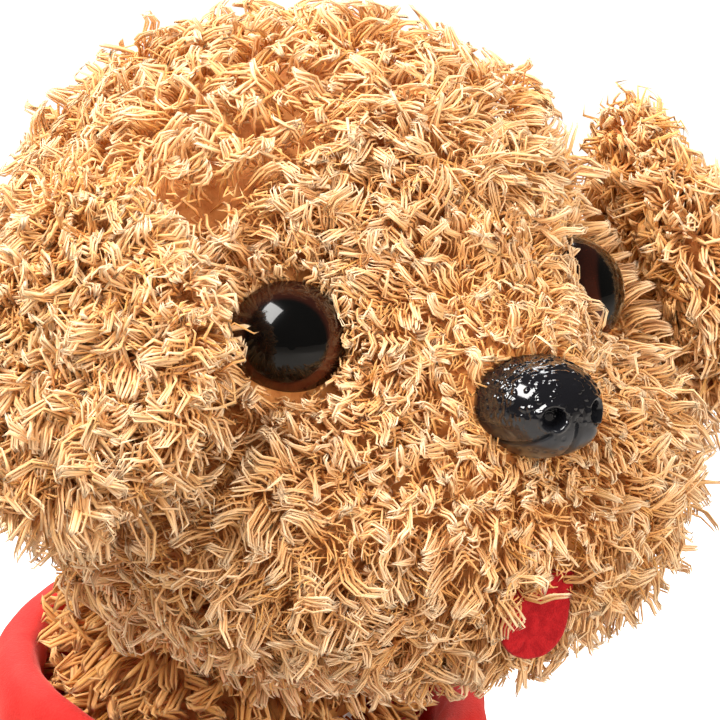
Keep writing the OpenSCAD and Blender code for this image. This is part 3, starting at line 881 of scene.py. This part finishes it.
def nose_grid(rows=140, columns=230):
    """Half an ellipsoid in front of the muzzle, narrower below, with droplets on top, pits below,
    two rimmed nostrils, a slit curving back from each, and a groove down the middle. Relief is added
    along the direction from the centre."""
    polar = np.linspace(0, math.pi / 2, rows)[:, None] + np.zeros((1, columns))
    turn = full_turn(columns)[None, :] + np.zeros((rows, 1))
    half = (NOSE_HIGH - NOSE_LOW) / 2
    direction = forwards(polar, turn)
    boxy = np.sign(direction) * np.abs(direction) ** 0.8
    p = boxy * [half[0] - 0.2, 10.6, half[2] - 0.2]
    p[..., 0] *= 1 - 0.3 * smoothstep(0.5, -6.5, p[..., 2])
    x, z = p[..., 0], p[..., 2]
    ahead = smoothstep(0.0, 0.35, np.cos(polar))
    relief = np.zeros_like(x)
    rng = np.random.default_rng(5)
    space = unit(p)
    flat = space.reshape(-1, 3)
    for sign, number, smallest, largest, tall in ((1, 700, 0.014, 0.045, 5.0), (-1, 220, 0.02, 0.034, 3.5)):
        angle = rng.uniform(0, 2 * math.pi, number)
        tilt = np.arccos(rng.uniform(0.0, 1, number))
        centres = forwards(tilt, angle)
        size = rng.uniform(smallest, largest, number)
        bump = np.zeros(len(flat))
        for start in range(0, number, 20):
            d2 = ((flat[:, None] - centres[start:start + 20][None]) ** 2).sum(axis=-1)
            dome = np.sqrt(np.maximum(size[start:start + 20] ** 2 - d2, 0)) * tall
            bump = np.maximum(bump, dome.max(axis=1))
        where = smoothstep(-1.6, 0.2, z) if sign > 0 else smoothstep(-0.6, -2.0, z)
        relief += sign * bump.reshape(x.shape) * where
    for side in (-1, 1):
        d = np.hypot(x - side * 3.3, z - 0.5)
        relief += ahead * (0.28 * np.exp(-((d - 1.7) / 0.3) ** 2) - 2.0 * smoothstep(1.5, 0.8, d))
        t = np.clip((side * x - 3.6) / 3.0, 0, 1)
        curve = -1.2 - 3.4 * t ** 1.1
        ends = (3.0, 3.9), (7.4, 6.0)
        slit = (np.exp(-((z - curve) / 0.32) ** 2) * smoothstep(*ends[0], side * x)
                * smoothstep(*ends[1], side * x))
        relief -= 0.65 * slit * smoothstep(-0.05, 0.2, np.cos(polar))
        relief += 0.45 * np.exp(-(((side * x - 3.4) / 2.0) ** 2 + ((z + 3.0) / 1.8) ** 2)) * ahead
    relief -= ahead * 0.8 * np.exp(-(x / 0.38) ** 2) * smoothstep(0.8, -1.0, z)
    p = p + space * relief[..., None]
    back = p[-1:] * [0.97, 1, 0.97] + [0, 1.6, 0]
    return np.concatenate([p, back, back * [0, 1, 0]]) + NOSE + NOSE_SHIFT


clothe(skin_piece("nose_shell", [nose_grid()]), "head", nose_material(), ("nose",))

# ---------------------------------------------------------------- tongue


def tongue_grid(rows=60, columns=64):
    """A felt tongue: straight sides closing in a half-round tip, a cushion-shaped cross-section, slightly
    dished along the middle and curling out at the tip."""
    t = np.linspace(0, 1, rows)[:, None]
    turn = full_turn(columns)[None, :]
    length = TONGUE_HIGH[2] - TONGUE_LOW[2]
    half = (TONGUE_HIGH[0] - TONGUE_LOW[0]) / 2
    tip = np.clip(1 - (np.clip(t - 0.5, 0, 1) / 0.5) ** 2.2, 0, 1)
    wide = half * np.sqrt(tip) * smoothstep(-0.12, 0.06, t)
    thick = (TONGUE_HIGH[1] - TONGUE_LOW[1]) / 2 * np.clip(wide / 2.0, 0, 1) ** 0.5
    c, s = np.cos(turn), np.sin(turn)
    x = wide * np.sign(c) * np.abs(c) ** 0.7
    y = thick * np.sign(s) * np.abs(s) ** 0.6 + 0.5 * (x / half) ** 2 * -1 - 0.7 * t ** 2 + 0.3
    z = TONGUE_HIGH[2] - length * t + 0 * x
    return np.stack([x - TONGUE_ASIDE * smoothstep(0.0, 0.7, t),
                     y + (TONGUE_LOW[1] + TONGUE_HIGH[1]) / 2, z + 0.4 * t], axis=-1)


tongue_felt = clothe(skin_piece("tongue_felt", [tongue_grid()]), "tongue", FELT, ("tongue",))

# ---------------------------------------------------------------- ears


def ear(word):
    """One ear: stuffed backing, lining inside, long pile outside and round the rim."""
    centre, down, face, wide, half_long = ear_frame(word)
    way = sphere_directions(60, 96)

    def egg(thick, half_wide, half_long, shift):
        """Ellipsoid in the ear's own directions, narrower towards the seam at its top."""
        narrow = 1 - 0.5 * smoothstep(0.1, -1, way[..., 2:3])
        return (centre + face * shift + way[..., 0:1] * thick * face
                + way[..., 1:2] * half_wide * narrow * wide
                + way[..., 2:3] * half_long * down)

    body = f"ear_{word}"
    grid = egg(2.6, EAR_HALF_WIDE, half_long, 0.4)
    inner = egg(0.9, 17.0, half_long - 0.3, -1.9)
    backing(f"ear_{word}_skin", [grid], body, (f"ear_{word}_pile",))
    clothe(skin_piece(f"ear_{word}_lining_cloth", [inner]), body, SKIN,
           (f"ear_{word}_lining",))

    def outside(p, n):
        return n @ face > -0.3

    def inside(p, n):
        return n @ face < 0.3

    def wish(p, n):
        return down * 0.9 + unit(p - centre) * 0.45

    def clear(path):
        return off_eyes(path, 5.0)

    def fringe(p, n):
        """Short at the seam, longest along the lower edge."""
        along = (p - centre) @ down / half_long
        return 3.0 + 3.2 * smoothstep(-1.0, -0.45, along) + 3.4 * smoothstep(0.1, 0.95, along)

    seed = 21 if word == "right" else 22
    grow(f"ear_{word}_tufts", grid, body, 5200, seed, outside, wish, fringe, clear=clear, lumps=0.5, lift=2.2,
         steps=4)
    grow(f"ear_{word}_rim_tufts", grid, body, 8000, seed + 6, lambda p, n: np.abs(n @ face) < 0.9,
         lambda p, n: unit(p - centre) - face * 0.35 + down * 0.5, fringe, clear=clear,
         lift=1.2, lean=0.4, bend=1.1, steps=4)
    grow(f"ear_{word}_undercoat", grid, body, 3600, seed + 2, outside, wish, 5.0, radius=0.2, jitter=1.2,
         clear=clear, lumps=0.5, lift=1.6, **UNDERCOAT)
    grow(f"ear_{word}_lining_pile", inner, body, 4300, seed + 4, inside, wish, 4.6, radius=0.26,
         strands=5, clear=clear, lift=0.0, steps=3, paint=SHADED_WISP, lean=0.6)


ear("right")
ear("left")

# ---------------------------------------------------------------- neck and torso

neck_low, neck_high = corners("neck_pile")
neck_grid = limb([0, NECK[1], neck_low[2] + 12], [0, NECK[1], neck_high[2] - 17], 18.4, 18.4)
neck_grid[..., 2] = np.clip(neck_grid[..., 2], neck_low[2], neck_high[2] - 1)
backing("neck_skin", [neck_grid], "neck", ("neck_pile",))


def round_wish(fall):
    """Pile that lies outwards and downwards."""
    return lambda p, n: n * 0.3 + np.array([0, 0, -fall])


# painted shade: the neck wears the darker pile copy because it lies in the head's shadow
grow("neck_tufts", neck_grid, "neck", 3000, 31, lambda p, n: (np.abs(n[:, 2]) < 0.8), round_wish(0.45), 8.0,
     radius=0.34, swirl=1.2, lift=2.0, lean=0.3, bend=1.2, steps=3, paint=SHADED_WISP)

CHEST = (np.array([0.0, -3.0, 86.0]), np.array([30.0, 29.0, 38.0]))
HIPS = (np.array([0.0, 14.0, 36.0]), np.array([36.0, 42.0, 40.0]))
torso_balls = [(CHEST[0], CHEST[1] - BACKING), (HIPS[0], HIPS[1] - BACKING)]
torso_grid = melted(torso_balls, np.array([0.0, 6.0, 60.0]), 3.0)
torso_grid[..., 2] = np.maximum(torso_grid[..., 2], 2.0)
backing("torso_skin", [torso_grid], "torso", ("torso_pile",))
COAT_LOW = corners("coat_body")[0][2]


def body_keep(p, n):
    return (p[:, 2] < COAT_LOW - 1) & (p[:, 2] > 2.1) & (n[:, 2] > -0.95)


grow("hip_tufts", torso_grid, "torso", 7200, 41, body_keep, round_wish(0.8), 6.2, radius=0.42, strands=6,
     lumps=0.5, steps=3)

# ---------------------------------------------------------------- legs and tail


def half_ball(centre, half, rows=33, columns=48):
    """Skin of an ellipsoid, in whole turns about Z, kept off the ground."""
    grid = np.asarray(centre) + sphere_directions(rows, columns) * half
    grid[..., 2] = np.maximum(grid[..., 2], 1.0)
    return grid


def above_ground(low, high=1e3):
    """True for roots between two heights that don't face straight down."""
    return lambda p, n: (p[:, 2] > low) & (p[:, 2] < high) & (n[:, 2] > -0.92)


for word, side in (("right", -1), ("left", 1)):
    shoulder = joint_at(f"foreleg_{word}_swing")
    paw = np.array([side * 27.5, -47.0, 10.5])
    tube = limb(shoulder, [shoulder[0], shoulder[1], 12.0], 6.0, 6.0)
    paw_grid = half_ball(paw, np.array([12.5, 18.0, 12.0]) - 5.8)
    backing(f"foreleg_{word}_skin", [tube, paw_grid], f"foreleg_{word}", (f"foreleg_{word}_pile",))
    haunch = joint_at(f"hindleg_{word}_swing")
    foot = np.array([side * 56.5, -22.0, 10.0])
    haunch_grid = half_ball(haunch, np.array([14.5, 30.0, 27.0]) - 6)
    foot_grid = half_ball(foot, np.array([13.0, 24.0, 12.0]) - 6)
    shank = limb([side * 54.0, -20.0, 12.5], [side * 54.0, 6.0, 22.0], 6.5, 6.5)
    backing(f"hindleg_{word}_skin", [haunch_grid, foot_grid, shank], f"hindleg_{word}",
            (f"hindleg_{word}_pile",))
    for part, grid, body, count, seed, low, high, fall, length, radius, lift, lumps in (
            ("foreleg", tube, "foreleg", 2200, 51, 12, 64, 0.7, 5.2, 0.36, 1.6, 0.4),
            ("paw", paw_grid, "foreleg", 1700, 52, 1.5, 1e3, 0.3, 5.4, 0.34, 1.2, 0.4),
            ("haunch", haunch_grid, "hindleg", 2500, 61, 3, 1e3, 0.5, 6.0, 0.42, 2.0, 0.5),
            ("foot", foot_grid, "hindleg", 1700, 62, 1.5, 1e3, 0.3, 5.4, 0.38, 1.4, 0.4),
            ("shank", shank, "hindleg", 900, 63, 8, 1e3, 0.5, 5.4, 0.34, 1.0, 0.0)):
        grow(f"{part}_{word}_tufts", grid, f"{body}_{word}", count, seed, above_ground(low, high),
             round_wish(fall), length, radius=radius, lift=lift, lumps=lumps, strands=6, steps=3)

tail_root = joint_at("tail_wag")
tail_tip = np.array([0.0, 78.0, 60.0])
tail_stalk = limb(tail_root + [0, 0, 1], tail_tip, 3.2, 3.8)
tail_ball = half_ball(tail_tip, np.full(3, 9.0))
backing("tail_skin", [tail_stalk, tail_ball], "tail", ("tail_pile",))
grow("tail_stalk_tufts", tail_stalk, "tail", 700, 71, above_ground(24, 52), round_wish(0.2), 3.6, radius=0.32,
     strands=5, lift=0.4, steps=3)
grow("tail_ball_tufts", tail_ball, "tail", 2200, 72, above_ground(3), round_wish(0.2), 5.6, radius=0.34,
     strands=6, lift=1.4, lumps=0.4, steps=3)

# ---------------------------------------------------------------- coat


COAT_THICK, SLEEVE_THICK, COAT_OFF_TORSO = 1.8, 1.3, 2.4


def shell(outer, thickness):
    """A cloth of that thickness under an open grid of outer points, closed over both edges."""
    ahead = np.roll(outer, -1, axis=1) - np.roll(outer, 1, axis=1)
    normal = unit(np.cross(np.gradient(outer, axis=0), ahead))
    if np.sum(normal * (outer - outer.reshape(-1, 3).mean(axis=0))) < 0:
        normal = -normal
    inner = outer - normal * thickness
    top = (outer[:1] + inner[:1]) / 2 - unit(outer[1:2] - outer[:1]) * thickness * 0.45
    bottom = (outer[-1:] + inner[-1:]) / 2 + unit(outer[-1:] - outer[-2:-1]) * thickness * 0.45
    return np.concatenate([top, outer, bottom, inner[::-1]])


def ring_piece(name, grid):
    """One object from a grid that wraps both ways."""
    rows, columns = grid.shape[:2]
    faces = grid_faces(rows + 1, columns) % (rows * columns)
    return clean_up(make_mesh(name, grid.reshape(-1, 3), faces))


def coat_rows(rows=50, columns=160):
    """The coat's outer face: horizontal rings out to the torso's melted shape plus its pile and the
    cloth, with soft random folds, stretched up and down, that fade partly towards the hem."""
    heights = np.linspace(corners("coat_body")[1][2] + 1.5, COAT_LOW, rows)[:, None]
    turn = full_turn(columns)[None, :]
    drop = smoothstep(85, 110, heights) * 6.5 * np.sin(turn) * -1
    z = heights - np.abs(drop) * (np.sin(turn) < 0) * 0.9
    way = np.stack([np.cos(turn) + 0 * z, np.sin(turn) + 0 * z, 0 * z], axis=-1)
    centre = np.stack([0 * z, 2.0 + 0 * z, z + 0 * turn], axis=-1)
    balls = [(CHEST[0], CHEST[1] + COAT_OFF_TORSO), (HIPS[0], HIPS[1] + COAT_OFF_TORSO)]
    p = out_to_skin(centre, way, balls, 2.0, 70.0, 16)
    fold = 0.9 * waves(p * [1.0, 1.0, 0.35], 22, 91) + 0.5 * waves(p * [1, 1, 0.6], 9, 92)
    edge = smoothstep(COAT_LOW, COAT_LOW + 5, z) * 0.7 + 0.3
    return p + way * (fold * edge - 0.2)[..., None]


coat_outer = coat_rows()
coat_cloth = clothe(ring_piece("coat_cloth", shell(coat_outer, COAT_THICK)), "torso", VELOUR,
                    ("coat_body",))


def tube_along(name, line, radius, paint, body, nodes):
    """A round cord laid along a closed line of points."""
    line = np.asarray(line)
    along = unit(np.roll(line, -1, axis=0) - np.roll(line, 1, axis=0))
    side = unit(np.cross(along, [0, 0, 1.0]))
    up = np.cross(side, along)
    turn = full_turn(16)
    ring = np.cos(turn)[:, None, None] * side + np.sin(turn)[:, None, None] * up
    twist = 1 + 0.05 * np.sin(np.arange(len(line)) * 2.1)[None, :, None]
    return clothe(ring_piece(name, line[None] + ring * radius * twist), body, paint, nodes)


hem_cord = tube_along("hem_cord", coat_outer[-1] + [0, 0, -1.2], 1.25, PIPING, "torso",
                      ("hem_piping",))

COLLAR_TILT = math.radians(12)
COLLAR_BAND, COLLAR_CORD = 31.2, 32.6
COLLAR = np.array([0.0, NECK[1] + 2.0, 102.5])


def tilted(points):
    """Collar points: turned about X so that the front is lower, and carried to the collar's middle."""
    c, s = math.cos(COLLAR_TILT), math.sin(COLLAR_TILT)
    return points @ np.array([[1, 0, 0], [0, c, s], [0, -s, c]]) + COLLAR


def collar_grid(columns=320, rows=44):
    """A soft rolled band: a rounded oblong carried round a circle, plumper in the middle of its height,
    with creases across it and slow waves along its upper edge."""
    turn = full_turn(columns)[None, :]
    around = full_turn(rows)[:, None]
    c, s = np.cos(around), np.sin(around)
    ring = np.stack([np.cos(turn) + 0 * c, np.sin(turn) + 0 * c, 0 * turn + 0 * c], axis=-1)
    crease = waves(ring * 30 * [1, 1, 0], 9, 95) * 0.45 + waves(ring * 30, 24, 96) * 0.6
    thick = 3.2 + 0.5 * s + 0.35 * crease
    across_band = COLLAR_BAND + thick * np.sign(c) * np.abs(c) ** 0.75 + 0.5 * crease * c
    height = 8.6 + (8.7 + 0.5 * waves(ring * 30, 30, 97)) * np.sign(s) * np.abs(s) ** 0.8
    local = ring * across_band[..., None]
    local[..., 2] = height
    return tilted(local)


collar = collar_grid()
clothe(ring_piece("collar_roll", collar), "torso", VELOUR, ("coat_collar",))
turn = full_turn(240)
cord_line = np.stack([COLLAR_CORD * np.cos(turn), COLLAR_CORD * np.sin(turn), 0 * turn - 1.0], axis=-1)
tube_along("collar_cord", tilted(cord_line),
           1.3, PIPING, "torso", ("collar_piping",))


def sleeve(word, side):
    """A sleeve with its shoulder: melted balls from inside the coat out over the leg, cut level at the
    cuff and hollowed underneath, with soft cross folds."""
    shoulder = joint_at(f"foreleg_{word}_swing")
    cuff = corners(f"sleeve_{word}")[0][2]
    chest = np.array([side * 17.0, -15.0, 88.0])
    arm = np.array([shoulder[0], shoulder[1], 68.0])
    balls = [(shoulder, np.full(3, 15.0)), (arm, np.array([14.6, 14.6, 26.0])),
             (chest, np.full(3, 16.0)), ((shoulder + chest) / 2, np.full(3, 15.5))]
    grid = melted(balls, shoulder - [0, 0, 2], 2.5, rows=90, columns=110)
    grid += unit(grid - shoulder) * (0.55 * waves(grid * [0.6, 0.6, 1.5], 12, 98 + side))[..., None]
    if grid[0, 0, 2] < grid[-1, 0, 2]:
        grid = grid[::-1]
    first = np.argmax(grid[..., 2] < cuff, axis=0)
    rows = np.minimum(np.arange(len(grid))[:, None], first[None, :])[:first.max() + 1]
    outer = np.take_along_axis(grid, rows[..., None], axis=0)
    outer[..., 2] = np.maximum(outer[..., 2], cuff + 0.02 * (len(outer) - np.arange(len(outer)))[:, None])
    piece = ring_piece(f"sleeve_{word}_cloth", shell(outer, SLEEVE_THICK))
    piece.data.materials.append(VELOUR)
    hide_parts(f"sleeve_{word}")
    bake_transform(piece)


sleeve("right", -1)
sleeve("left", 1)

around = slice(37, 44)
rows_used = (coat_outer[:, 40, 2] > 62) & (coat_outer[:, 40, 2] < 96)
patch = coat_outer[rows_used][:, around]
out = np.array([0, 1.0, 0.15])
front, rear = patch + out * 0.9, patch - out * 0.5
tape = np.concatenate([front, rear[:, ::-1]], axis=1)
ends = [np.broadcast_to(row.mean(axis=1, keepdims=True), row.shape) for row in (tape[:1], tape[-1:])]
tape = np.concatenate([ends[0], tape, ends[1]])
fastener_strip = clothe(skin_piece("fastener_strip", [tape]), "torso", TAPE,
                        ("coat_fastener",))

# ---------------------------------------------------------------- parts that stay as in CAD

for names, paint in (
        (["eye_washers", "nose_washer"], WASHER), (["pellet_bag"], BAG), (["base_panel"], BASE),
        ([n for n in frame["nodes"] if n.endswith("_filling")], FILLING)):
    for node in names:
        frame["nodes"][node].data.materials.clear()
        frame["nodes"][node].data.materials.append(paint)

# ---------------------------------------------------------------- floor, light, camera


def flat_material(name, colour, rough):
    made, tree, shader = material(name, Roughness=rough)
    found = use(tree, MOTTLE, Position=place_in(tree), Dark=colour, Light=colour, Grain=20.0, Relief=0.0)
    tree.links.new(found["Colour"], shader.inputs["Base Color"])
    return made


bpy.ops.mesh.primitive_plane_add(size=6, location=(0, 0, -0.0005))
floor = bpy.context.object
floor.name = "studio_floor"
floor.data.materials.append(flat_material("studio_paper", (0.92, 0.92, 0.92, 1), 0.9))
paper = floor.data.materials[0].node_tree
seen_by_camera = paper.nodes.new("ShaderNodeLightPath").outputs["Is Camera Ray"]
paper_shader = paper.nodes["Principled BSDF"]
paper_shader.inputs["Emission Color"].default_value = (1, 1, 1, 1)
paper.links.new(maths(paper, "MULTIPLY", seen_by_camera, 0.5), paper_shader.inputs["Emission Strength"])
paper.links.new(blended(paper, seen_by_camera, (0.4, 0.38, 0.36, 1), (0.92, 0.92, 0.92, 1)),
                paper_shader.inputs["Base Color"])

AZIMUTH, ELEVATION = math.radians(-37), math.radians(13)
right = np.array([math.cos(AZIMUTH), math.sin(AZIMUTH), 0])
toward = np.array([math.sin(AZIMUTH) * math.cos(ELEVATION), -math.cos(AZIMUTH) * math.cos(ELEVATION),
                   math.sin(ELEVATION)])
upward = np.cross(toward, right) * -1
upward = upward if upward[2] > 0 else -upward
AIM = SKULL + [0, -3, 0] + right * 6.7 - upward * 3.1


def aim(thing, place, target):
    """Puts a lamp or camera somewhere, looking at the target; both in millimetres."""
    thing.location = Vector(place) * MM
    look = Vector(target) - Vector(place)
    thing.rotation_euler = look.to_track_quat("-Z", "Y").to_euler()


camera = bpy.data.objects.new("camera", bpy.data.cameras.new("camera"))
FOCAL_LENGTH, SENSOR, CAMERA_AWAY = 225, 36, 600
camera.data.lens, camera.data.sensor_width = FOCAL_LENGTH, SENSOR
camera.data.clip_start, camera.data.clip_end = 0.01, 20
bpy.context.scene.collection.objects.link(camera)
aim(camera, AIM + toward * CAMERA_AWAY, AIM)
bpy.context.scene.camera = camera


def lamp(name, place, size, power, colour):
    """A soft square lamp looking at the head."""
    data = bpy.data.lights.new(name, "AREA")
    data.size, data.energy, data.color = size, power, colour
    made = bpy.data.objects.new(name, data)
    bpy.context.scene.collection.objects.link(made)
    aim(made, place, SKULL)
    return made


lamp("key_lamp", SKULL + toward * 350 - right * 330 + upward * 500, 0.4, 7.6, (1.0, 0.98, 0.95))
fill = lamp("fill_lamp", SKULL + toward * 500 + right * 450 + upward * 60, 0.5, 3.4, (1.0, 0.95, 0.9))
fill.visible_glossy = False
lamp("rim_lamp", SKULL - toward * 350 - right * 100 + upward * 450, 0.4, 3.5, (1.0, 1.0, 1.0))

world = bpy.data.worlds.new("studio")
bpy.context.scene.world = world
world.use_nodes = True
sky = world.node_tree
for old in list(sky.nodes):
    sky.nodes.remove(old)
seen = put(sky, "ShaderNodeBackground", {"Color": (1, 1, 1, 1), "Strength": 1.0})
ray = sky.nodes.new("ShaderNodeLightPath")
dim = maths(sky, "SUBTRACT", 0.72, maths(sky, "MULTIPLY", ray.outputs["Is Glossy Ray"], 0.66))
lights = put(sky, "ShaderNodeBackground", {"Color": (1, 0.92, 0.82, 1), "Strength": dim})
mix = put(sky, "ShaderNodeMixShader",
          {0: ray.outputs["Is Camera Ray"], 1: lights.outputs[0], 2: seen.outputs[0]})
sky.links.new(mix.outputs[0], sky.nodes.new("ShaderNodeOutputWorld").inputs[0])
bpy.context.scene.view_settings.view_transform = "Standard"
